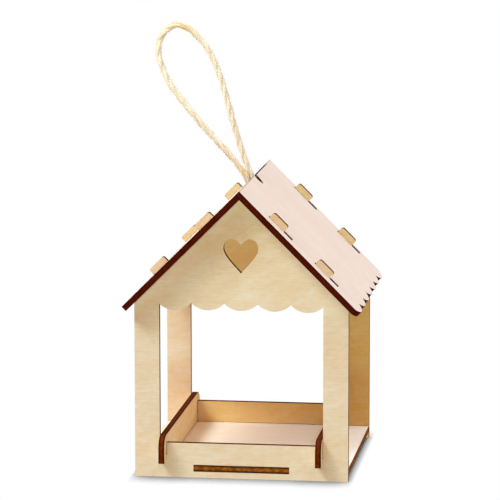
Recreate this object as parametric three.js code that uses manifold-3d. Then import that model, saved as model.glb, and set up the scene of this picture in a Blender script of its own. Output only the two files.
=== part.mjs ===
// Hanging bird feeder: a flat-pack house of 4 mm birch plywood with a rope loop.
// Millimetres, +Z up, the front panel faces -Y. Z = 0 is the surface the house stands on, and
// X = Y = 0 is the middle of the plywood parts' footprint.
//
// Two equal house-shaped panels stand front and rear. The floor's tabs pass through their slots,
// the two side rails drop into half-lap notches in their openings, and two roof panels sit over
// tabs on the gables. The right roof panel overlaps the upper end of the left one at the ridge.
import * as THREE from 'three';
import { mergeVertices } from 'three/addons/utils/BufferGeometryUtils.js';
import Module from 'manifold-3d';

// Sheet and fits
const SHEET = 4;                 // plywood thickness
const GAP = 0.3;                 // clearance where two pieces meet
const ROOF_GAP = 0.1;            // clearance between a gable's slope and the roof panel that rests on it
const QUARTER = Math.PI / 2;
const SLOPE = Math.PI / 4;       // both roof slopes lie at 45 degrees

// House panels
const HALF_WIDTH = 70.3;
const HALF_DEPTH = 70;           // from the middle of the house to a panel's outer face
const HOUSE_Y = 1;               // the roof overhangs the front more, so the house sits back
const RIDGE_Z = 186.1;           // where the two roof undersides would meet
const RIDGE_X = 0.3;             // the gables' peaks are a little off the panels' middle
const OPENING_HALF = 53.8;
const RAIL_TOP = 23;             // top of the panels' bottom rail
const VALANCE_CUSP_Z = 116.1;
const VALANCE_END_Z = 115.3;     // the outer lobes are cut off by the posts a little below the cusps
const VALANCE_LOBES = 5;
const VALANCE_PITCH = 21.8;
const VALANCE_SAG = 4.4;
const HEART = { tip: 136.5, cleft: 154.9, top: 158.9, half: 11.4, widest: 152.7, lobe: 5.8 };

// Roof: distances along a slope are measured from the ridge line of the undersides
const TAB_SPANS = [[22, 35.1], [64.2, 77.3]];
const TAB_PROUD = 4.5;           // how far a tab stands above the roof surface
const TAB_CORNER = 1.8;
const ROOF_SLOTS = [[21.5, 42.7], [63.7, 85]];
const ROOF_FRONT = 11;           // overhang past the front panel
const ROOF_REAR = 4;
const EAVE_CUSP = 103;
const EAVE_SAG = 4.3;
const EAVE_LOBES = 7;
const ROPE_NOTCH_HALF = 4.4;     // half the width of a rope notch where it leaves the ridge edge
const ROPE_NOTCH_DEPTH = 7.9;    // cut down the slope from the ridge edge of a roof panel
const ELLIPSE_HANDLE = 0.5523;   // Bezier handle of a quarter of an ellipse, over its half axis

// Floor
const FLOOR_Z = 4.3;             // underside
const FLOOR_TAB_HALF = 31.3;

// Side rails
const SIDE_TOP = 28.2;
const SIDE_OUTER = 53.5;
const NOSE = 9;                  // how far a rail stands out past a panel's outer face
const NOSE_BOTTOM = 10.5;
const LAP_Z = 15.3;              // height where a rail's slot meets a panel's notch

// Rope
const ROPE_DIAMETER = 4;
const ROPE_SIDES = 8;
const ROPE_STEPS = 36;
const KNOT_Z = 172.9;
const KNOT_STRAND = 3.5;         // the rope is pulled thinner in its knot
const KNOT_SCALE = 2;            // size of the trefoil's plan curve
const KNOT_RISE = 1.95;          // half the height between crossing strands
const KNOT_TAIL = 11;

// Worked out from the above
const FLOOR_TOP = FLOOR_Z + SHEET;
const PANEL_INNER = HALF_DEPTH - SHEET;
const ROOF_MIDDLE_Y = HOUSE_Y + (ROOF_REAR - ROOF_FRONT) / 2;
const ROOF_DEPTH = 2 * HALF_DEPTH + ROOF_FRONT + ROOF_REAR;
const ROOT_HALF = Math.SQRT1_2;

// The rope's centreline, from its first end above the knot, out through the ridge, round the
// loop and back. Offsets are from the middle of the ridge hole: across, front to rear, height.
const ROPE_ROUTE = [
  [-2.7, -0.9, 177.1], [-2.7, -0.9, 182.2], [-3.7, -0.9, 187], [-6.2, -1.0, 192], [-9.6, -1.0, 196.8],
  [-15, -1.2, 203.6], [-21.6, -1.5, 210.9], [-28.2, -1.8, 217.9], [-34.4, -2.0, 224.8],
  [-40.2, -2.0, 231.6], [-45.8, -1.8, 238], [-51.2, -1.5, 244.8], [-56, -1.1, 251.6],
  [-59.9, -0.6, 258.8], [-62.7, -0.1, 266], [-64.2, 0.4, 273], [-63.6, 0.8, 279.6],
  [-60.9, 1.0, 285.2], [-56.6, 1.1, 289.2], [-51.4, 1.1, 291], [-46.2, 1.0, 289.8],
  [-40.9, 0.9, 286.3], [-35.9, 0.8, 281.4], [-31.6, 0.7, 275.8], [-28, 0.7, 269.4],
  [-25, 0.7, 262.6], [-22.4, 0.8, 255.6], [-20.1, 0.9, 248], [-17.8, 1.0, 239.8],
  [-15.5, 1.1, 231], [-12.9, 1.2, 221.8], [-10.3, 1.2, 213], [-7.4, 1.1, 204.4],
  [-4.4, 1.0, 196.6], [-1.7, 1.3, 190.4], [0.1, 1.4, 185], [0.6, 1.4, 177.1],
];

const COLOURS = {
  panel: 0xe9d6ac, inner: 0xd9a873, floor: 0xe6cdb4, rail: 0xcf9c68, roof: 0xefe0d6, rope: 0xf1e2bd,
};

const wasm = await Module();
wasm.setup();

function wood(colour) {
  return new THREE.MeshStandardMaterial({ color: colour, roughness: 0.7, metalness: 0 });
}

function namedMesh(name, geometry, material) {
  const mesh = new THREE.Mesh(geometry, material);
  mesh.name = name;
  return mesh;
}

function sheetOf(shape) {
  return new THREE.ExtrudeGeometry(shape, { depth: SHEET, bevelEnabled: false, curveSegments: 14 });
}

function toManifold(geometry) {
  geometry.deleteAttribute('normal');
  geometry.deleteAttribute('uv');
  const merged = mergeVertices(geometry);
  return new wasm.Manifold(new wasm.Mesh({
    numProp: 3,
    vertProperties: new Float32Array(merged.attributes.position.array),
    triVerts: new Uint32Array(merged.index.array),
  }));
}

function fromManifold(solid) {
  const mesh = solid.getMesh();
  const geometry = new THREE.BufferGeometry();
  geometry.setAttribute('position', new THREE.BufferAttribute(mesh.vertProperties, 3));
  geometry.setIndex(new THREE.BufferAttribute(mesh.triVerts, 1));
  return geometry;
}

function rectangle(x0, y0, x1, y1) {
  const path = new THREE.Path();
  path.moveTo(x0, y0);
  path.lineTo(x0, y1);
  path.lineTo(x1, y1);
  path.lineTo(x1, y0);
  path.closePath();
  return path;
}

// A scallop from the path's current point `from` to `to`, a circular arc that stands out by `sag`
// on the right-hand side of the way it runs
function drawLobe(path, from, to, sag) {
  const chord = to.clone().sub(from);
  const turn = 2 * Math.atan(2 * sag / chord.length());
  const radius = chord.length() / 2 / Math.sin(turn);
  const handle = 4 / 3 * Math.tan(turn / 2) * radius;
  const origin = new THREE.Vector2();
  const direction = chord.normalize();
  const start = direction.clone().rotateAround(origin, -turn).multiplyScalar(handle).add(from);
  const end = direction.clone().rotateAround(origin, turn).multiplyScalar(-handle).add(to);
  path.bezierCurveTo(start.x, start.y, end.x, end.y, to.x, to.y);
}

// A point on a gable: `along` the slope from the ridge, `out` from the roof's underside
function gablePoint(side, along, out) {
  return new THREE.Vector2(RIDGE_X + side * ROOT_HALF * (along + out), RIDGE_Z - ROOT_HALF * (along - out));
}

// One roof tab, drawn from its start to its end along the slope
function drawTab(shape, side, start, end) {
  const top = SHEET + TAB_PROUD;
  const inward = Math.sign(end - start) * TAB_CORNER;
  const foot0 = gablePoint(side, start, -ROOF_GAP);
  const rise0 = gablePoint(side, start, top - TAB_CORNER);
  const corner0 = gablePoint(side, start, top);
  const flat0 = gablePoint(side, start + inward, top);
  const flat1 = gablePoint(side, end - inward, top);
  const corner1 = gablePoint(side, end, top);
  const fall1 = gablePoint(side, end, top - TAB_CORNER);
  const foot1 = gablePoint(side, end, -ROOF_GAP);
  shape.lineTo(foot0.x, foot0.y);
  shape.lineTo(rise0.x, rise0.y);
  shape.quadraticCurveTo(corner0.x, corner0.y, flat0.x, flat0.y);
  shape.lineTo(flat1.x, flat1.y);
  shape.quadraticCurveTo(corner1.x, corner1.y, fall1.x, fall1.y);
  shape.lineTo(foot1.x, foot1.y);
}

function houseOutline() {
  const shape = new THREE.Shape();
  const ridge = RIDGE_Z - ROOF_GAP / ROOT_HALF;
  const eave = ridge - HALF_WIDTH;
  shape.moveTo(-HALF_WIDTH, 0);
  shape.lineTo(HALF_WIDTH, 0);
  shape.lineTo(HALF_WIDTH, eave + RIDGE_X);
  for (const [high, low] of [...TAB_SPANS].reverse()) drawTab(shape, 1, low, high);
  shape.lineTo(RIDGE_X, ridge);
  for (const [high, low] of TAB_SPANS) drawTab(shape, -1, high, low);
  shape.lineTo(-HALF_WIDTH, eave - RIDGE_X);
  shape.closePath();
  return shape;
}

// The bird's opening: a scalloped valance above, half-lap notches for the side rails below
function openingPath() {
  const inner = SIDE_OUTER - SHEET - GAP;
  const bottom = LAP_Z - GAP / 2;
  const middle = VALANCE_LOBES / 2;
  const cusps = [];
  for (let i = 0; i <= VALANCE_LOBES; i += 1) {
    const atEnd = i === 0 || i === VALANCE_LOBES;
    const x = atEnd ? Math.sign(middle - i) * OPENING_HALF : (middle - i) * VALANCE_PITCH;
    cusps.push(new THREE.Vector2(x, atEnd ? VALANCE_END_Z : VALANCE_CUSP_Z));
  }
  const path = new THREE.Path();
  path.moveTo(-OPENING_HALF, bottom);
  path.lineTo(-inner, bottom);
  path.lineTo(-inner, RAIL_TOP);
  path.lineTo(inner, RAIL_TOP);
  path.lineTo(inner, bottom);
  path.lineTo(OPENING_HALF, bottom);
  path.lineTo(OPENING_HALF, VALANCE_END_Z);
  for (let i = 0; i < VALANCE_LOBES; i += 1) drawLobe(path, cusps[i], cusps[i + 1], -VALANCE_SAG);
  path.closePath();
  return path;
}

function heartPath() {
  const { tip, cleft, top, half, widest, lobe } = HEART;
  const path = new THREE.Path();
  path.moveTo(0, cleft);
  path.bezierCurveTo(-lobe * 0.3, cleft + 2.6, -lobe * 0.65, top, -lobe, top);
  path.bezierCurveTo(-half * 0.8, top, -half, widest + 3.5, -half, widest);
  path.bezierCurveTo(-half, widest - 3.7, -half * 0.66, tip + 8.1, 0, tip);
  path.bezierCurveTo(half * 0.66, tip + 8.1, half, widest - 3.7, half, widest);
  path.bezierCurveTo(half, widest + 3.5, half * 0.8, top, lobe, top);
  path.bezierCurveTo(lobe * 0.65, top, lobe * 0.3, cleft + 2.6, 0, cleft);
  return path;
}

function housePanel(name, innerY) {
  const shape = houseOutline();
  const slotHalf = FLOOR_TAB_HALF + GAP;
  shape.holes.push(openingPath(), heartPath());
  shape.holes.push(rectangle(-slotHalf, FLOOR_Z - GAP, slotHalf, FLOOR_TOP + GAP));
  const mesh = namedMesh(name, sheetOf(shape), wood(COLOURS.panel));
  mesh.rotation.x = QUARTER;
  mesh.position.y = innerY;
  return mesh;
}

function floorPanel() {
  const body = PANEL_INNER - GAP;
  const tab = HALF_DEPTH - GAP / 2;
  const shape = new THREE.Shape();
  shape.moveTo(-HALF_WIDTH, -body);
  shape.lineTo(-FLOOR_TAB_HALF, -body);
  shape.lineTo(-FLOOR_TAB_HALF, -tab);
  shape.lineTo(FLOOR_TAB_HALF, -tab);
  shape.lineTo(FLOOR_TAB_HALF, -body);
  shape.lineTo(HALF_WIDTH, -body);
  shape.lineTo(HALF_WIDTH, body);
  shape.lineTo(FLOOR_TAB_HALF, body);
  shape.lineTo(FLOOR_TAB_HALF, tab);
  shape.lineTo(-FLOOR_TAB_HALF, tab);
  shape.lineTo(-FLOOR_TAB_HALF, body);
  shape.lineTo(-HALF_WIDTH, body);
  shape.closePath();
  const mesh = namedMesh('floor_panel', sheetOf(shape), wood(COLOURS.floor));
  mesh.position.z = FLOOR_Z;
  return mesh;
}

// A side rail's outline, front to rear by height, with a slot from below at each house panel
function sideRail(name, leftX) {
  const tip = HALF_DEPTH + NOSE;
  const face = HALF_DEPTH + GAP;
  const inside = PANEL_INNER - GAP;
  const lap = LAP_Z + GAP / 2;
  const bottom = FLOOR_TOP + GAP;
  const radius = tip - face;
  const shape = new THREE.Shape();
  shape.moveTo(-inside, bottom);
  shape.lineTo(inside, bottom);
  shape.lineTo(inside, lap);
  shape.lineTo(face, lap);
  shape.lineTo(face, NOSE_BOTTOM);
  shape.lineTo(tip, NOSE_BOTTOM);
  shape.lineTo(tip, SIDE_TOP - radius);
  shape.absarc(face, SIDE_TOP - radius, radius, 0, QUARTER, false);
  shape.lineTo(-face, SIDE_TOP);
  shape.absarc(-face, SIDE_TOP - radius, radius, QUARTER, Math.PI, false);
  shape.lineTo(-tip, NOSE_BOTTOM);
  shape.lineTo(-face, NOSE_BOTTOM);
  shape.lineTo(-face, lap);
  shape.lineTo(-inside, lap);
  shape.closePath();
  const mesh = namedMesh(name, sheetOf(shape), wood(COLOURS.rail));
  mesh.rotation.set(QUARTER, 0, QUARTER, 'ZYX');
  mesh.position.x = leftX;
  return mesh;
}

// A roof panel lying flat: `side` is 1 where X runs down the slope and -1 where it runs up
function roofShape(side, ridgeEdge) {
  const front = -ROOF_DEPTH / 2;
  const pitch = ROOF_DEPTH / EAVE_LOBES;
  const half = ROPE_NOTCH_HALF;
  const end = side * (ridgeEdge + ROPE_NOTCH_DEPTH);
  const bend = side * (ridgeEdge + ELLIPSE_HANDLE * ROPE_NOTCH_DEPTH);
  const cusps = [];
  for (let i = 0; i <= EAVE_LOBES; i += 1) {
    cusps.push(new THREE.Vector2(side * EAVE_CUSP, front + i * pitch));
  }
  const shape = new THREE.Shape();
  shape.moveTo(side * ridgeEdge, front);
  shape.lineTo(side * EAVE_CUSP, front);
  for (let i = 0; i < EAVE_LOBES; i += 1) drawLobe(shape, cusps[i], cusps[i + 1], side * EAVE_SAG);
  shape.lineTo(side * ridgeEdge, -front);
  shape.lineTo(side * ridgeEdge, half);
  shape.bezierCurveTo(bend, half, end, ELLIPSE_HANDLE * half, end, 0);
  shape.bezierCurveTo(end, -ELLIPSE_HANDLE * half, bend, -half, side * ridgeEdge, -half);
  shape.closePath();
  return shape;
}

// The box that cuts one tab slot through a roof panel lying flat
function slotCutter(side, span, y) {
  const [high, low] = span;
  const cutter = new THREE.BoxGeometry(low - high, SHEET + 2 * GAP, 3 * SHEET);
  return cutter.translate(side * (low + high) / 2, y, SHEET / 2);
}

function roofPanel(name, side, ridgeEdge) {
  const shape = roofShape(side, ridgeEdge);
  const tabY = HALF_DEPTH - SHEET / 2;
  let solid = toManifold(sheetOf(shape));
  for (const wallY of [-tabY, tabY]) {
    const y = wallY + HOUSE_Y - ROOF_MIDDLE_Y;
    for (const span of ROOF_SLOTS) solid = solid.subtract(toManifold(slotCutter(side, span, y)));
  }
  const mesh = namedMesh(name, fromManifold(solid), wood(COLOURS.roof));
  mesh.rotation.y = side * SLOPE;
  return mesh;
}

function circleShape(radius, sides) {
  const shape = new THREE.Shape();
  for (let i = 0; i < sides; i += 1) {
    const angle = 2 * Math.PI * i / sides;
    if (i === 0) shape.moveTo(radius, 0);
    else shape.lineTo(radius * Math.cos(angle), radius * Math.sin(angle));
  }
  shape.closePath();
  return shape;
}

function ropeAlong(curve, steps, diameter) {
  return new THREE.ExtrudeGeometry(circleShape(diameter / 2, ROPE_SIDES), {
    steps, bevelEnabled: false, extrudePath: curve,
  });
}

function hangingRope() {
  const points = ROPE_ROUTE.map(([x, y, z]) => new THREE.Vector3(x, y, z));
  const curve = new THREE.CatmullRomCurve3(points, false, 'centripetal');
  return namedMesh('hanging_rope', ropeAlong(curve, ROPE_STEPS, ROPE_DIAMETER), wood(COLOURS.rope));
}

class TrefoilCurve extends THREE.Curve {
  getPoint(t, target = new THREE.Vector3()) {
    const a = 2 * Math.PI * t;
    return target.set(
      KNOT_SCALE * (Math.sin(a) + 2 * Math.sin(2 * a)),
      KNOT_SCALE * (Math.cos(a) - 2 * Math.cos(2 * a)),
      -KNOT_RISE * Math.sin(3 * a),
    );
  }
}

// The knot that ties the rope's two ends together under the ridge, with its two cut tails
function ropeKnot() {
  const knot = new THREE.TubeGeometry(new TrefoilCurve(), 54, KNOT_STRAND / 2, ROPE_SIDES, true);
  let solid = toManifold(knot);
  for (const side of [-1, 1]) {
    const tail = new THREE.CatmullRomCurve3([
      new THREE.Vector3(side * KNOT_SCALE * 1.6, side * 0.6, -0.4),
      new THREE.Vector3(side * KNOT_SCALE * 1.5, side * 1.2, -KNOT_TAIL / 2),
      new THREE.Vector3(side * KNOT_SCALE * 2.2, side * 1.5, -KNOT_TAIL),
    ]);
    solid = solid.add(toManifold(ropeAlong(tail, 4, KNOT_STRAND)));
  }
  const mesh = namedMesh('rope_knot', fromManifold(solid), wood(COLOURS.rope));
  mesh.position.z = KNOT_Z;
  return mesh;
}

const house = new THREE.Group();
house.position.y = HOUSE_Y;
house.add(housePanel('front_panel', -PANEL_INNER));
house.add(housePanel('rear_panel', HALF_DEPTH));
house.add(floorPanel());
house.add(sideRail('side_rail_left', -SIDE_OUTER));
house.add(sideRail('side_rail_right', SIDE_OUTER - SHEET));

const roof = new THREE.Group();
roof.position.set(RIDGE_X, ROOF_MIDDLE_Y, RIDGE_Z);
roof.add(roofPanel('roof_left', -1, GAP));
roof.add(roofPanel('roof_right', 1, -SHEET));

const hanger = new THREE.Group();
hanger.position.y = ROOF_MIDDLE_Y;
hanger.add(hangingRope());
hanger.add(ropeKnot());

const feeder = new THREE.Group();
feeder.name = 'hanging_bird_feeder';
feeder.add(house, roof, hanger);

export default feeder;
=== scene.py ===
"""Looks for the hanging bird feeder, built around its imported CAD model.

Metres, +Z up, the front panel faces -Y. The plywood sheets are the CAD nodes themselves, with their
edges eased and plywood materials. The rope and its knot are laid-rope meshes that replace CAD nodes.
"""

import math
import random

import bmesh
import bpy
from mathutils import Matrix, Vector, noise


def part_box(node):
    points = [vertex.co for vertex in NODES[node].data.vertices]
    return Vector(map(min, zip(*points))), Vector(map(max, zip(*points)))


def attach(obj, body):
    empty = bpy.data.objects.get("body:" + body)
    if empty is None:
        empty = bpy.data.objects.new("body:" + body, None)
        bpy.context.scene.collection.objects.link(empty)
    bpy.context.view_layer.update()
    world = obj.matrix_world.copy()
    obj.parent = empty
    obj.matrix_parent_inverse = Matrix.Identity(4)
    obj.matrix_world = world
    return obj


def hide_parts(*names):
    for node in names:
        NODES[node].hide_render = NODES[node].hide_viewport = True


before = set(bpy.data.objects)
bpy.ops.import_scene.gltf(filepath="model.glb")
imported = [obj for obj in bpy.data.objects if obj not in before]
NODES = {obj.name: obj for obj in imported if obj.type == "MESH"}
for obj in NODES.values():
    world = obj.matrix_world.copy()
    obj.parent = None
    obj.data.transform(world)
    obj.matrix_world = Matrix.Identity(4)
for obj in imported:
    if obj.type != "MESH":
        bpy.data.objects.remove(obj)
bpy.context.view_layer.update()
MM = 0.001

# ------------------------------------------------------------------ sizes

PLY = 3                        # veneers in a sheet
SHEET = 4.0                    # its thickness in millimetres
EDGE_EASE = 0.22 * MM          # rounding where a cut edge meets a face
RIDGE_X = 0.3                  # how far right of the middle the gables' peaks stand, in millimetres
RIDGE_SCORCH = 0.9 * MM        # width of the scorched line along the right roof panel's ridge edge
CONTACT_REACH = 22 * MM        # how far the shadow round the feet spreads over the floor
CONTACT_SIDE = 4 * MM          # and how far to their sides

ROPE_DIAMETER = 4.2 * MM       # with its loose outer fibres
KNOT_STRAND = 3.5 * MM         # the rope is pulled thinner in its knot
ROPE_STRANDS = 3
ROPE_LAY = 30 * MM             # length in which a strand goes once round the rope
RING_STEP = 0.45 * MM          # between the rings of points that make a rope's surface
RING_SIDES = 30
FUZZ_COUNT = 1200              # loose fibres along the rope
FUZZ_LENGTH = (2, 5.5)         # shortest and longest, in millimetres
FUZZ_RADIUS = (0.02, 0.035)
FUZZ_CLEAR = 30                # rings at each end of the rope, in and under the ridge, that have none
FRAY_COUNT = 90                # fibres in each of its cut ends
FRAY_LENGTH = (1.8, 3.4)
FRAY_RADIUS = (0.07, 0.12)

# The rope's centreline, from its first end in the knot, out through the ridge, round the loop and
# back. Millimetres from the middle of the ridge hole across and front to rear, and above the ground.
ROPE_ROUTE = [
    (-2.7, -0.9, 177.1), (-2.7, -0.9, 182.2), (-3.7, -0.9, 187), (-6.2, -1.0, 192),
    (-9.6, -1.0, 196.8), (-15, -1.2, 203.6), (-21.6, -1.5, 210.9), (-28.2, -1.8, 217.9),
    (-34.4, -2.0, 224.8), (-40.2, -2.0, 231.6), (-45.8, -1.8, 238), (-51.2, -1.5, 244.8),
    (-56, -1.1, 251.6), (-59.9, -0.6, 258.8), (-62.7, -0.1, 266), (-64.2, 0.4, 273),
    (-63.6, 0.8, 279.6), (-60.9, 1.0, 285.2), (-56.6, 1.1, 289.2), (-51.4, 1.1, 291),
    (-46.2, 1.0, 289.8), (-40.9, 0.9, 286.3), (-35.9, 0.8, 281.4), (-31.6, 0.7, 275.8),
    (-28, 0.7, 269.4), (-25, 0.7, 262.6), (-22.4, 0.8, 255.6), (-20.1, 0.9, 248),
    (-17.8, 1.0, 239.8), (-15.5, 1.1, 231), (-12.9, 1.2, 221.8), (-10.3, 1.2, 213),
    (-7.4, 1.1, 204.4), (-4.4, 1.0, 196.6), (-1.7, 1.3, 190.4), (0.1, 1.4, 185),
    (0.6, 1.4, 177.1),
]
KNOT_SIZE = 2 * MM             # of the trefoil's plan curve
KNOT_RISE = 1.95 * MM          # half the height between its crossing strands

# ------------------------------------------------------------------ camera

CAMERA_AT = Vector((0.2989, -2.2429, 0.5066))
CAMERA_YAW = -7.675            # degrees, turned to the left of +Y
CAMERA_PITCH = -9.184
CAMERA_ROLL = -0.061
CAMERA_LENS = 247.1            # millimetres
SENSOR = 36


def add_camera():
    yaw, pitch, roll = (math.radians(a) for a in (CAMERA_YAW, CAMERA_PITCH, CAMERA_ROLL))
    level = math.cos(pitch)
    forward = Vector((math.sin(yaw) * level, math.cos(yaw) * level, math.sin(pitch)))
    right = Vector((math.cos(yaw), -math.sin(yaw), 0))
    up = right.cross(forward)
    turned_right = math.cos(roll) * right + math.sin(roll) * up
    turned_up = math.cos(roll) * up - math.sin(roll) * right
    data = bpy.data.cameras.new("camera")
    data.lens = CAMERA_LENS
    data.sensor_width = SENSOR
    data.clip_end = 50
    camera = bpy.data.objects.new("camera", data)
    axes = Matrix((turned_right, turned_up, -forward)).transposed().to_4x4()
    camera.matrix_world = Matrix.Translation(CAMERA_AT) @ axes
    bpy.context.scene.collection.objects.link(camera)
    bpy.context.scene.camera = camera


# ------------------------------------------------------------------ curves

def centripetal(a, b, c, d, share):
    """The point at that share of the way from b to c, on a centripetal Catmull-Rom curve."""
    knots = [0.0]
    for p, q in ((a, b), (b, c), (c, d)):
        knots.append(knots[-1] + math.sqrt((q - p).length))
    k0, k1, k2, k3 = knots
    k = k1 + share * (k2 - k1)
    ab = a.lerp(b, (k - k0) / (k1 - k0))
    bc = b.lerp(c, (k - k1) / (k2 - k1))
    cd = c.lerp(d, (k - k2) / (k3 - k2))
    abc = ab.lerp(bc, (k - k0) / (k2 - k0))
    bcd = bc.lerp(cd, (k - k1) / (k3 - k1))
    return abc.lerp(bcd, (k - k1) / (k2 - k1))


def respaced(points, step):
    """Evenly spaced points along a polyline, about a step apart, with both ends kept."""
    reached = [0.0]
    for p, q in zip(points, points[1:]):
        reached.append(reached[-1] + (q - p).length)
    count = max(2, round(reached[-1] / step))
    result = []
    i = 0
    for n in range(count + 1):
        want = reached[-1] * n / count
        while i < len(points) - 2 and reached[i + 1] < want:
            i += 1
        share = (want - reached[i]) / (reached[i + 1] - reached[i])
        result.append(points[i].lerp(points[i + 1], share))
    return result


def smooth_path(points, step):
    """A smooth curve through the points, as evenly spaced points."""
    guides = [2 * points[0] - points[1], *points, 2 * points[-1] - points[-2]]
    dense = []
    for a, b, c, d in zip(guides, guides[1:], guides[2:], guides[3:]):
        dense += [centripetal(a, b, c, d, i / 12) for i in range(12)]
    dense.append(points[-1])
    return respaced(dense, step)


def frames_along(path, closed=False):
    """(point, tangent, normal, binormal) at each point, with as little turning as the path allows."""
    count = len(path)
    tangents = []
    for i in range(count):
        before = path[i - 1] if closed or i else path[0]
        after = path[(i + 1) % count] if closed or i < count - 1 else path[-1]
        tangents.append((after - before).normalized())
    normal = tangents[0].orthogonal().normalized()
    normals = []
    for tangent in tangents:
        normal = (normal - tangent * normal.dot(tangent)).normalized()
        normals.append(normal.copy())
    if closed:
        back = (normal - tangents[0] * normal.dot(tangents[0])).normalized()
        turned = math.atan2(back.cross(normals[0]).dot(tangents[0]), back.dot(normals[0]))
        for i in range(count):
            normals[i].rotate(Matrix.Rotation(turned * i / count, 3, tangents[i]))
    return [(p, t, n, t.cross(n)) for p, t, n in zip(path, tangents, normals)]


def outward_at(angle, normal, binormal):
    """The direction out of a path at that angle round it."""
    return math.cos(angle) * normal + math.sin(angle) * binormal


# ------------------------------------------------------------------ rope

def strand_reach(angle):
    """The radius of a laid rope's surface, over its outer radius, at that angle round it."""
    strand, offset = 0.62, 0.38    # a strand's radius, and how far its middle is from the rope's
    turn = 2 * math.pi / ROPE_STRANDS
    local = (angle + turn / 2) % turn - turn / 2
    across = offset * math.sin(local)
    return offset * math.cos(local) + math.sqrt(strand * strand - across * across)


def laid_rope(name, path, radius, turns, closed=False):
    """A rope of twisted strands swept along the path. Its UV is the length along it in centimetres,
    and the angle round it, in turns, that follows the strands."""
    frames = frames_along(path, closed)
    count = len(frames)
    mesh = bmesh.new()
    uv_layer = mesh.loops.layers.uv.new("lay")
    rings = []
    for i, (point, _, normal, binormal) in enumerate(frames):
        twist = 2 * math.pi * turns * i / (count if closed else count - 1)
        size = radius * (1 + 0.09 * noise.noise(point * 160))
        ring = []
        for j in range(RING_SIDES):
            angle = 2 * math.pi * j / RING_SIDES
            outward = outward_at(angle + twist, normal, binormal)
            yarns = 0.02 * math.sin(9 * angle + 5 * twist) + 0.04 * noise.noise(outward * 2 + point * 220)
            ring.append(mesh.verts.new(point + outward * size * (strand_reach(angle) + yarns)))
        rings.append(ring)
    spacing = (path[1] - path[0]).length * 100
    spans = count if closed else count - 1
    for i in range(spans):
        ring, after = rings[i], rings[(i + 1) % count]
        for j in range(RING_SIDES):
            k = (j + 1) % RING_SIDES
            face = mesh.faces.new((ring[j], ring[k], after[k], after[j]))
            corners = ((i, j), (i, j + 1), (i + 1, j + 1), (i + 1, j))
            for loop, (along, around) in zip(face.loops, corners):
                loop[uv_layer].uv = (along * spacing, around / RING_SIDES)
    if not closed:
        mesh.faces.new(reversed(rings[0]))
        mesh.faces.new(rings[-1])
    return mesh_object(name, mesh)


def mesh_object(name, mesh):
    """A shown object of a bmesh, shaded smooth."""
    bmesh.ops.recalc_face_normals(mesh, faces=mesh.faces)
    data = bpy.data.meshes.new(name)
    mesh.to_mesh(data)
    mesh.free()
    data.shade_smooth()
    piece = bpy.data.objects.new(name, data)
    bpy.context.scene.collection.objects.link(piece)
    return piece


def add_fibre(mesh, uv_layer, start, heading, bend, length, radius):
    """One loose fibre: a thin three-sided tube that curves and ends in a point."""
    steps = 6
    sides = ((0, 1), (1, 2), (2, 0))
    points = []
    for i in range(steps + 1):
        share = i / steps
        points.append(start + heading * length * share + bend * length * share * share)
    rings = []
    for i, (point, _, normal, binormal) in enumerate(frames_along(points)[:-1]):
        size = radius * (1 - 0.6 * i / steps)
        ring = []
        for j in range(len(sides)):
            outward = outward_at(2 * math.pi * j / len(sides), normal, binormal)
            ring.append(mesh.verts.new(point + size * outward))
        rings.append(ring)
    tip = mesh.verts.new(points[-1])
    faces = [mesh.faces.new(reversed(rings[0]))]
    for ring, after in zip(rings, rings[1:]):
        faces += [mesh.faces.new((ring[j], ring[k], after[k], after[j])) for j, k in sides]
    faces += [mesh.faces.new((rings[-1][j], rings[-1][k], tip)) for j, k in sides]
    for face in faces:
        for loop in face.loops:
            loop[uv_layer].uv = (start.z * 100, start.x * 100)


def rope_fuzz(name, path, count, seed):
    """Loose fibres that lift off the rope's surface, mostly along it."""
    draw = random.Random(seed)
    frames = frames_along(path)
    mesh = bmesh.new()
    uv_layer = mesh.loops.layers.uv.new("lay")
    for _ in range(count):
        point, tangent, normal, binormal = frames[draw.randrange(FUZZ_CLEAR, len(frames) - FUZZ_CLEAR)]
        outward = outward_at(draw.uniform(0, 2 * math.pi), normal, binormal)
        way = draw.choice((-1, 1))
        lift = draw.uniform(0.25, 0.5) if draw.random() < 0.6 else draw.uniform(0.5, 1.2)
        heading = (tangent * way + outward * lift).normalized()
        bend = outward * draw.uniform(-0.25, 0.05) + tangent.cross(outward) * draw.uniform(-0.3, 0.3)
        start = point + outward * ROPE_DIAMETER * 0.43
        length = draw.uniform(*FUZZ_LENGTH) * MM
        radius = draw.uniform(*FUZZ_RADIUS) * MM
        add_fibre(mesh, uv_layer, start, heading, bend, length, radius)
    return mesh_object(name, mesh)


def rope_centre():
    """The middle of the ridge hole, at the height of the ground."""
    low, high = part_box("roof_right")
    return Vector((0, (low.y + high.y) / 2, 0))


def rope_path():
    centre = rope_centre()
    return smooth_path([centre + Vector(p) * MM for p in ROPE_ROUTE], RING_STEP)


def path_length(path):
    return sum((q - p).length for p, q in zip(path, path[1:]))


def knot_centre():
    """The middle of the CAD knot's own coils, above its tails."""
    low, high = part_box("rope_knot")
    return Vector(((low.x + high.x) / 2, rope_centre().y, high.z - KNOT_RISE - KNOT_STRAND / 2))


def knot_path(centre):
    """A trefoil, closed, with its last point beside its first."""
    dense = []
    steps = 300
    for i in range(steps + 1):
        a = 2 * math.pi * i / steps
        x = KNOT_SIZE * (math.sin(a) + 2 * math.sin(2 * a))
        y = KNOT_SIZE * (math.cos(a) - 2 * math.cos(2 * a))
        dense.append(centre + Vector((x, y, -KNOT_RISE * math.sin(3 * a))))
    return respaced(dense, RING_STEP)[:-1]


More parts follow.
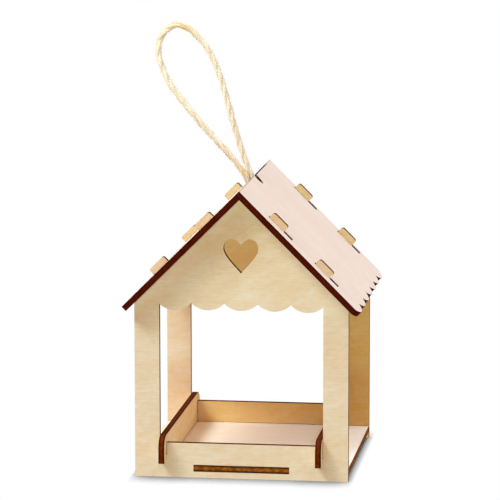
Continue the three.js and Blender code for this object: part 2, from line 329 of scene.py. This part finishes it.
def tail_path(centre, side):
    """One of the two ends that hang from the knot."""
    points = [
        Vector((side * 1.6 * KNOT_SIZE, side * 0.6 * MM, -0.4 * MM)),
        Vector((side * 1.5 * KNOT_SIZE, side * 1.2 * MM, -5.5 * MM)),
        Vector((side * 2.2 * KNOT_SIZE, side * 1.5 * MM, -10.4 * MM)),
    ]
    return smooth_path([centre + p for p in points], RING_STEP)


def frayed_end(name, path, seed):
    """A brush of fibres where a cut rope end opens up."""
    draw = random.Random(seed)
    point, tangent, normal, binormal = frames_along(path)[-1]
    mesh = bmesh.new()
    uv_layer = mesh.loops.layers.uv.new("lay")
    for _ in range(FRAY_COUNT):
        outward = outward_at(draw.uniform(0, 2 * math.pi), normal, binormal)
        out = math.sqrt(draw.uniform(0, 1)) * 0.85
        start = point - tangent * 1.2 * MM + outward * out * KNOT_STRAND / 2
        heading = (tangent + outward * out * draw.uniform(0.1, 0.5)).normalized()
        bend = outward * draw.uniform(-0.1, 0.3)
        length = draw.uniform(*FRAY_LENGTH) * MM
        radius = draw.uniform(*FRAY_RADIUS) * MM
        add_fibre(mesh, uv_layer, start, heading, bend, length, radius)
    return mesh_object(name, mesh)


def joined(name, objects):
    """One object of several, named anew."""
    mesh = bmesh.new()
    for piece in objects:
        mesh.from_mesh(piece.data)
        bpy.data.meshes.remove(piece.data)
    return mesh_object(name, mesh)


def lay_turns(path):
    """How many times the strands go round a rope of that path."""
    return path_length(path) / ROPE_LAY


def add_rope(material, loose_material):
    path = rope_path()
    rope = laid_rope("laid_rope", path, ROPE_DIAMETER / 2, lay_turns(path))
    fuzz = rope_fuzz("rope_fuzz", path, FUZZ_COUNT, 11)
    centre = knot_centre()
    coils = knot_path(centre)
    turns = round(lay_turns(coils) * ROPE_STRANDS) / ROPE_STRANDS
    parts = [laid_rope("coils", coils, KNOT_STRAND / 2, turns, closed=True)]
    for side in (-1, 1):
        tail = tail_path(centre, side)
        parts.append(laid_rope("tail", tail, KNOT_STRAND / 2, lay_turns(tail)))
        parts.append(frayed_end("fray", tail, 20 + side))
    knot = joined("tied_knot", parts)
    for piece in (rope, fuzz, knot):
        piece.data.materials.append(loose_material if piece is fuzz else material)
        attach(piece, "house")
    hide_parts("hanging_rope")
    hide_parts("rope_knot")


# ------------------------------------------------------------------ shader nodes

class Shader:
    """A node material that is built up with short calls. From math to bump, each call adds a node and
    returns its output socket."""

    def __init__(self, name):
        self.material = bpy.data.materials.new(name)
        self.material.use_nodes = True
        self.tree = self.material.node_tree
        self.tree.nodes.clear()
        self.surface = self.node("ShaderNodeBsdfPrincipled")
        output = self.node("ShaderNodeOutputMaterial")
        self.tree.links.new(self.surface.outputs[0], output.inputs["Surface"])

    def node(self, kind, inputs=(), **settings):
        made = self.tree.nodes.new(kind)
        for key, value in settings.items():
            setattr(made, key, value)
        for key, value in dict(inputs).items():
            self.plug(value, made.inputs[key])
        return made

    def plug(self, value, socket):
        if isinstance(value, bpy.types.NodeSocket):
            self.tree.links.new(value, socket)
        else:
            socket.default_value = value

    def set(self, **values):
        for key, value in values.items():
            self.plug(value, self.surface.inputs[key.replace("_", " ")])

    def math(self, operation, *values, clamp=False):
        inputs = dict(enumerate(values))
        return self.node("ShaderNodeMath", inputs, operation=operation, use_clamp=clamp).outputs[0]

    def dot(self, vector, direction):
        made = self.node("ShaderNodeVectorMath", {0: vector, 1: direction}, operation="DOT_PRODUCT")
        return made.outputs["Value"]

    def vector(self, x, y, z):
        return self.node("ShaderNodeCombineXYZ", {0: x, 1: y, 2: z}).outputs[0]

    def noise(self, vector, scale=1.0, detail=2.0, roughness=0.5, distortion=0.0):
        inputs = {
            "Vector": vector, "Scale": scale, "Detail": detail, "Roughness": roughness,
            "Distortion": distortion,
        }
        return self.node("ShaderNodeTexNoise", inputs).outputs["Fac"]

    def steps(self, value, low, high, to_low=0.0, to_high=1.0):
        """value from low to high, as to_low to to_high, clamped and smooth."""
        inputs = {"Value": value, 1: low, 2: high, 3: to_low, 4: to_high}
        return self.node("ShaderNodeMapRange", inputs, interpolation_type="SMOOTHSTEP").outputs[0]

    def mix(self, share, a, b, blend="MIX"):
        made = self.node("ShaderNodeMix", data_type="RGBA", blend_type=blend)
        for socket, value in ((made.inputs["Factor"], share), (made.inputs[6], a), (made.inputs[7], b)):
            self.plug(value, socket)
        return made.outputs[2]

    def bump(self, height, distance, strength=1.0):
        inputs = {"Height": height, "Distance": distance, "Strength": strength}
        return self.node("ShaderNodeBump", inputs).outputs[0]


def colour(red, green, blue):
    """A linear colour of sRGB values from 0 to 255."""
    def linear(value):
        share = value / 255
        return share / 12.92 if share <= 0.04045 else ((share + 0.055) / 1.055) ** 2.4
    return (linear(red), linear(green), linear(blue), 1.0)


# ------------------------------------------------------------------ materials

YARN_TURNS = 0.2               # turns of a yarn round its rope, per centimetre
# The rope's deeper tone is painted shade on its first end beside the ridge, and a plain deeper tone at
# the top of the loop.
SHADED_END = (10.0, 4.0)       # where the rope's deeper tone begins and is full, in centimetres along it
TAN_TOP = (0.276, 0.29)     # and in metres above the ground
SLOPE = math.sqrt(0.5)
# For each way that a sheet can lie: along its grain, across the grain in its face, and out of its face
LYING = {
    "upright": (Vector((1, 0, 0)), Vector((0, 0, 1)), Vector((0, 1, 0))),
    "flat": (Vector((1, 0, 0)), Vector((0, 1, 0)), Vector((0, 0, 1))),
    "lengthwise": (Vector((0, 1, 0)), Vector((0, 0, 1)), Vector((1, 0, 0))),
    "left_slope": (Vector((SLOPE, 0, SLOPE)), Vector((0, 1, 0)), Vector((-SLOPE, 0, SLOPE))),
    "right_slope": (Vector((-SLOPE, 0, SLOPE)), Vector((0, 1, 0)), Vector((SLOPE, 0, SLOPE))),
}


class SheetShader(Shader):
    """A shader with its sheet's own places in millimetres: u runs with the grain, v across it over the
    face, and w through the sheet from sheet_from, which is in metres."""

    def __init__(self, name, lying, sheet_from, seed):
        super().__init__(name)
        along, across, self.out = LYING[lying]
        self.seed = seed
        place = self.node("ShaderNodeTexCoord").outputs["Object"]
        self.u = self.math("DIVIDE", self.dot(place, along), MM)
        self.v = self.math("DIVIDE", self.dot(place, across), MM)
        depth = self.math("SUBTRACT", self.dot(place, self.out), sheet_from)
        self.w = self.math("DIVIDE", depth, MM)

    def streaks(self, per_along, per_across, detail, roughness=0.55, distortion=0.0, tilt=0.0):
        """Noise with that many features per millimetre along and across the grain, leaning by tilt."""
        leaned = self.math("ADD", self.v, self.math("MULTIPLY", self.u, tilt))
        along = self.math("MULTIPLY", self.u, per_along)
        across = self.math("MULTIPLY", leaned, per_across)
        return self.noise(self.vector(along, across, self.seed), 1.0, detail, roughness, distortion)


def figured_face(s, pale, warm, grain, pores):
    """A face's colour, which goes from the pale to the warm tone with the wood's figure."""
    broad = s.streaks(0.016, 0.03, 2.0, distortion=0.4)
    flame = s.streaks(0.035, 0.11, 3.0, distortion=0.9, tilt=-0.55)
    lines = s.streaks(0.045, 0.5, 3.0, 0.6)
    mottle = s.streaks(0.25, 0.32, 3.0)
    tone = 0.42                    # the warm tone's share where the figure is neither light nor dark
    for value, weight in ((broad, 1.0), (flame, 1.0), (lines, 0.8), (mottle, 0.8), (grain, 1.2)):
        tone = s.math("ADD", tone, s.math("MULTIPLY", s.math("SUBTRACT", value, 0.5), weight))
    tone = s.math("ADD", tone, s.math("MULTIPLY", pores, 0.16), clamp=True)
    blush = s.steps(s.streaks(0.05, 0.09, 2.0, tilt=-0.3), 0.4, 0.62)
    return s.mix(s.math("MULTIPLY", blush, 0.6), s.mix(tone, pale, warm), BLUSH, "MULTIPLY")


def tinted_with_painted_light(s, face, tints_and_light):
    """The face's colour with each of its tints, which are the laser's toasting and painted light and
    shade; each tints it more and more from one place to another and fully beyond it."""
    from_peak = s.math("ABSOLUTE", s.math("SUBTRACT", s.u, RIDGE_X))
    ways = {"posts": s.u, "upward": s.v, "slopes": s.math("ADD", from_peak, s.v)}
    for way, start, end, tinting in tints_and_light:
        share = s.steps(ways[way], start, end)
        if way == "posts":
            share = s.math("MULTIPLY", share, s.steps(s.v, POST_TOP + 10, POST_TOP))
        face = s.mix(share, face, tinting, "MULTIPLY")
    return face


def cut_share(s, scorch_from):
    """Where the sheet is burnt: on its cut edges, which don't face out of the sheet, and on the part of
    its face past scorch_from, in metres along the grain. That scorch is strongest behind the rope."""
    normal = s.node("ShaderNodeNewGeometry").outputs["True Normal"]
    spaces = {"vector_type": "NORMAL", "convert_from": "WORLD", "convert_to": "OBJECT"}
    own_normal = s.node("ShaderNodeVectorTransform", {0: normal}, **spaces).outputs[0]
    cut = s.steps(s.math("ABSOLUTE", s.dot(own_normal, s.out)), 0.99, 0.87)
    if scorch_from is None:
        return cut
    beside = s.steps(s.u, scorch_from / MM, scorch_from / MM + 0.35)
    behind = s.math("MULTIPLY", s.steps(s.v, 0.0, 4.0, 0.25, 1.0), s.steps(s.v, 68.0, 40.0, 0.15, 1.0))
    return s.math("MAXIMUM", cut, s.math("MULTIPLY", beside, behind))


def burnt_wood(s, char, ember, spot, speckle):
    """A cut edge's colour: char with ember-brown spots, mostly in the middle veneer, and glue lines."""
    veneer = s.math("FRACT", s.math("MULTIPLY", s.w, PLY / SHEET))
    glue = s.steps(s.math("ABSOLUTE", s.math("SUBTRACT", veneer, 0.5)), 0.36, 0.5)
    patches = s.steps(s.noise(spot, 1.0, 1.0), 0.38, 0.62)
    middle = s.steps(s.math("ABSOLUTE", s.math("SUBTRACT", s.w, SHEET / 2)), 0.46 * SHEET, 0.1 * SHEET)
    glow = s.math("ADD", s.math("MULTIPLY", patches, 0.3), s.math("MULTIPLY", speckle, 0.7))
    glow = s.math("MULTIPLY", glow, s.math("MULTIPLY_ADD", middle, 0.95, 0.05))
    dark = (char[0] * 0.5, char[1] * 0.5, char[2] * 0.5, 1)
    return s.mix(s.math("MULTIPLY", glue, 0.3), s.mix(glow, char, ember), dark)


def plywood(name, lying, tones, burns, seed, sheet_from, scorch_from, tints_and_light):
    """Birch plywood cut by laser: soft figure and fine grain on its faces, and burnt edges."""
    s = SheetShader(name, lying, sheet_from, seed)
    grain = s.streaks(0.11, 1.7, 4.0, 0.65)
    pores = s.steps(s.streaks(0.5, 4.2, 2.0), 0.63, 0.74)
    spot = s.vector(*(s.math("MULTIPLY", a, b) for a, b in ((s.u, 0.32), (s.v, 0.32), (s.w, 0.5))))
    speckle = s.steps(s.noise(spot, 6.0, 3.0, 0.6), 0.36, 0.66)
    face = tinted_with_painted_light(s, figured_face(s, *tones, grain, pores), tints_and_light)
    cut = cut_share(s, scorch_from)
    fine = s.math("ADD", s.math("MULTIPLY", grain, 0.7), s.math("MULTIPLY", pores, -0.6))
    rough_cut = s.math("MULTIPLY", s.math("MULTIPLY", cut, speckle), 1.5)
    dullness = s.math("ADD", 0.6, s.math("MULTIPLY", cut, 0.2))
    s.set(
        Base_Color=s.mix(cut, face, burnt_wood(s, *burns, spot, speckle)),
        Roughness=s.math("ADD", s.math("MULTIPLY", grain, 0.16), dullness),
        Normal=s.bump(s.math("ADD", fine, rough_cut), 0.08 * MM, 0.6),
    )
    s.surface.inputs["Specular IOR Level"].default_value = 0.06
    return s.material


def rope_fibre():
    """Pale sisal: streaks that run with the yarns, painted shade in the hollows between the strands and
    on the rope's first end beside the ridge, and a deeper tone at the top of the loop. The lay's UV
    runs in centimetres along the rope and in turns round it."""
    s = Shader("rope_fibre")
    place = s.node("ShaderNodeUVMap", uv_map="lay").outputs[0]
    split = s.node("ShaderNodeSeparateXYZ", {0: place}).outputs
    along, around = split[0], split[1]
    wound = s.math("ADD", around, s.math("MULTIPLY", along, YARN_TURNS))
    turned = s.math("MULTIPLY", wound, 2 * math.pi)
    spot = s.vector(s.math("COSINE", turned), s.math("SINE", turned), s.math("MULTIPLY", along, 0.35))
    yarn = s.noise(spot, 1.9, 2.0, 0.5)
    hairs = s.noise(spot, 7.0, 3.0, 0.6)
    # painted shade: the hollows between the strands are darkened in the colour
    local = s.math("FRACT", s.math("MULTIPLY", around, float(ROPE_STRANDS)))
    hollow_shade = s.steps(s.math("ABSOLUTE", s.math("SUBTRACT", local, 0.5)), 0.1, 0.0)
    height = s.dot(s.node("ShaderNodeTexCoord").outputs["Object"], (0, 0, 1))
    # painted shade towards the first end beside the ridge, and a deeper tone at the top of the loop
    shade_and_tan = s.math("MAXIMUM", s.steps(along, *SHADED_END), s.steps(height, *TAN_TOP))
    deep = s.mix(shade_and_tan, colour(255, 252, 243), colour(238, 213, 162))
    stray = s.mix(shade_and_tan, colour(246, 234, 206), colour(240, 220, 178))
    shaded = s.mix(shade_and_tan, colour(240, 222, 186), colour(228, 196, 144))
    base = s.mix(s.steps(yarn, 0.38, 0.64), colour(255, 255, 255), deep)
    base = s.mix(s.math("MULTIPLY", s.steps(hairs, 0.45, 0.7), 0.28), base, stray)
    # painted shade in the hollows between the strands
    base = s.mix(s.math("MULTIPLY", hollow_shade, 0.3), base, shaded)
    s.set(Base_Color=base, Normal=s.bump(s.math("ADD", yarn, hairs), 0.15 * MM, 0.6))
    s.surface.inputs["Roughness"].default_value = 0.8
    s.surface.inputs["Specular IOR Level"].default_value = 0.2
    s.surface.inputs["Sheen Weight"].default_value = 1.0
    s.surface.inputs["Sheen Roughness"].default_value = 0.45
    return s.material


def loose_fibre():
    """The pale single fibres that stand off the rope."""
    s = Shader("loose_fibre")
    tint = s.noise(s.node("ShaderNodeTexCoord").outputs["Object"], 90.0, 1.0)
    s.set(Base_Color=s.mix(tint, colour(252, 246, 232), colour(240, 224, 190)))
    s.surface.inputs["Roughness"].default_value = 0.7
    s.surface.inputs["Sheen Weight"].default_value = 0.3
    return s.material


# ------------------------------------------------------------------ plywood sheets

GABLE = (colour(241, 232, 225), colour(228, 208, 181))
# The rear panel's tones are warmer than the other sheets' partly as painted shade: the warm shade inside
# the house.
REAR_WITH_SHADE = (colour(253, 232, 182), colour(246, 211, 141))
ROOF = (colour(243, 234, 241), colour(236, 223, 225))
# The floor panel's tones are paler than the other sheets' partly as painted light on the tray floor under
# the roof.
FLOOR_WITH_LIGHT = (colour(255, 249, 250), colour(251, 239, 236))
RAIL = (colour(248, 228, 196), colour(237, 204, 155))
NOSE_BURN = (colour(50, 7, 0), colour(132, 58, 14))
ROOF_BURN = (colour(62, 4, 0), colour(92, 26, 4))
SLOT_BURN = (colour(52, 12, 0), colour(204, 126, 44))

BLUSH = (1.0, 0.965, 0.93, 1)  # tint of the warmer patches that lie over every face
POST_TOP = 116.0               # height where the painted light and shade from post to post begin to fade, in millimetres
# How a house panel's tone changes: from post to post, upward, and out through the gable's slopes,
# which the laser has toasted, to the tabs. Besides the toasting, most of these tints are painted light
# and shade. Each has its way, where it begins and where it is full, in millimetres, and the tint that it
# multiplies the face by.
TINTS_AND_PAINTED_LIGHT = {
    "front_panel": (
        ("upward", 118, 100, (0.96, 0.945, 0.965, 1)),
        # painted shade: warmer towards the peak, under the roof
        ("upward", 140, 180, (1.0, 0.97, 0.86, 1)),
        ("slopes", 184.6, 185.8, (0.84, 0.68, 0.5, 1)),
        # paler and cooler on the tabs: takes the toasting and the painted shade off them, as they stand
        # in the light
        ("slopes", 186.5, 187.5, (1.1, 1.25, 1.5, 1)),
    ),
    "rear_panel": (
        # painted light: the left post paler and cooler, where light from the left falls on it
        ("posts", -40, -52, (0.99, 1.1, 1.85, 1)),
        # painted shade: darker towards the right post, which the front panel and roof shade
        ("posts", 0, 56, (0.84, 0.82, 0.74, 1)),
        # painted shade: darker low down, over the rail behind the tray
        ("upward", 60, 40, (0.92, 0.86, 0.82, 1)),
        ("slopes", 184.6, 185.8, (0.84, 0.68, 0.5, 1)),
        # paler and cooler on the tabs: takes the toasting and the painted shade of the warm tones off
        # them, as they stand in the light
        ("slopes", 186.5, 187.5, (0.95, 1.22, 1.9, 1)),
    ),
}

# For each sheet: how it lies, its face's tones, its edges' tones and the seed of its figure
SHEETS = {
    "front_panel": ("upright", GABLE, NOSE_BURN, 3.1),
    "rear_panel": ("upright", REAR_WITH_SHADE, NOSE_BURN, 21.7),
    "floor_panel": ("flat", FLOOR_WITH_LIGHT, SLOT_BURN, 7.9),
    "side_rail_left": ("lengthwise", RAIL, NOSE_BURN, 12.3),
    "side_rail_right": ("lengthwise", RAIL, NOSE_BURN, 15.8),
    "roof_left": ("left_slope", ROOF, ROOF_BURN, 33.2),
    "roof_right": ("right_slope", ROOF, ROOF_BURN, 41.6),
}


def lowest_along(node, direction):
    """Where a node begins along a direction, in metres."""
    return min(vertex.co.dot(direction) for vertex in node.data.vertices)


def ease_edges(node):
    """Rounds a sheet's cut edges a little, as sanding does."""
    weld = node.modifiers.new("weld", "WELD")
    weld.merge_threshold = 0.002 * MM
    flats = node.modifiers.new("flats", "DECIMATE")
    flats.decimate_type = "DISSOLVE"
    flats.angle_limit = math.radians(0.4)
    ease = node.modifiers.new("ease", "BEVEL")
    ease.width = EDGE_EASE
    ease.segments = 2
    ease.limit_method = "ANGLE"
    ease.angle_limit = math.radians(35)
    ease.use_clamp_overlap = True
    smooth = node.modifiers.new("smooth", "WEIGHTED_NORMAL")
    smooth.keep_sharp = False


def finish_sheets():
    """Gives each sheet its plywood and its eased edges."""
    for name, (lying, tones, burns, seed) in SHEETS.items():
        node = NODES[name]
        along, _, out = LYING[lying]
        start = lowest_along(node, out)
        scorch = None
        if name == "roof_right":
            scorch = -lowest_along(node, -along) - RIDGE_SCORCH
        tints_and_light = TINTS_AND_PAINTED_LIGHT.get(name, ())
        material = plywood(name + "_ply", lying, tones, burns, seed, start, scorch, tints_and_light)
        for slot in node.material_slots:
            slot.material = material
        ease_edges(node)


# ------------------------------------------------------------------ studio

# Each sun's angle to the right of the feeder's front and above the floor, its strength, its tint, and
# how wide it is in the sky. All angles are in degrees.
SUNS = {
    "key_left": (-55, 50, 2.0, (0.94, 1.0, 0.89), 20),
    "key_front": (-30, 50, 0.5, (0.55, 1.0, 0.95), 20),
    "top_right": (80, 70, 1.15, (0.56, 0.84, 1.0), 40),
    "front_right": (60, 48, 0.45, (0.7, 0.92, 1.0), 30),
    "left_low": (-85, 28, 0.5, (0.6, 0.8, 1.0), 40),
    "bounce": (0, -50, 1.22, (0.56, 1.0, 0.97), 60),
    "back_right": (140, 20, 0.72, (0.83, 0.96, 1.0), 40),
}
GROUND_HALF = 14               # half the floor's side, in metres


def add_sun(name, around, height, strength, tint, width):
    data = bpy.data.lights.new(name, "SUN")
    data.energy = strength
    data.color = tint
    data.angle = math.radians(width)
    lamp = bpy.data.objects.new(name, data)
    lamp.rotation_euler = (math.radians(90 - height), 0, math.radians(around))
    bpy.context.scene.collection.objects.link(lamp)


def add_world():
    """A dim warm surround for light, and plain white where the camera sees past the ground."""
    world = bpy.data.worlds.new("studio")
    world.use_nodes = True
    tree = world.node_tree
    glow = tree.nodes["Background"]
    glow.inputs["Color"].default_value = (1.0, 0.5, 0.1, 1)
    glow.inputs["Strength"].default_value = 0.5
    backdrop = tree.nodes.new("ShaderNodeBackground")
    backdrop.inputs["Color"].default_value = (1, 1, 1, 1)
    either = tree.nodes.new("ShaderNodeMixShader")
    seen = tree.nodes.new("ShaderNodeLightPath").outputs["Is Camera Ray"]
    tree.links.new(seen, either.inputs[0])
    tree.links.new(glow.outputs[0], either.inputs[1])
    tree.links.new(backdrop.outputs[0], either.inputs[2])
    tree.links.new(either.outputs[0], tree.nodes["World Output"].inputs["Surface"])
    bpy.context.scene.world = world


def add_ground():
    """A plain white floor that shows only the shadow close round the feeder."""
    mesh = bmesh.new()
    bmesh.ops.create_grid(mesh, x_segments=8, y_segments=8, size=GROUND_HALF)
    ground = mesh_object("ground", mesh)
    s = Shader("ground")
    inputs = {"Distance": CONTACT_REACH}
    open_sky = s.node("ShaderNodeAmbientOcclusion", inputs, samples=4).outputs["AO"]
    lit = s.math("MULTIPLY_ADD", open_sky, 1.3, -0.3, clamp=True)
    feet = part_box("front_panel")[1].x
    sideways = s.math("ABSOLUTE", s.dot(s.node("ShaderNodeTexCoord").outputs["Object"], (1, 0, 0)))
    lit = s.math("MAXIMUM", lit, s.steps(sideways, feet - CONTACT_SIDE / 2, feet + CONTACT_SIDE))
    glow = s.mix(lit, (0, 0, 0, 1), (1, 1, 1, 1))
    s.set(Base_Color=(0, 0, 0, 1), Emission_Color=glow)
    s.surface.inputs["Emission Strength"].default_value = 1.0
    s.surface.inputs["Specular IOR Level"].default_value = 0.0
    ground.data.materials.append(s.material)
    ground.visible_diffuse = False
    ground.visible_glossy = False
    ground.visible_shadow = False


def add_studio():
    bpy.context.scene.view_settings.view_transform = "Standard"
    add_world()
    for name, settings in SUNS.items():
        add_sun(name, *settings)
    add_ground()


add_camera()
add_rope(rope_fibre(), loose_fibre())
finish_sheets()
add_studio()
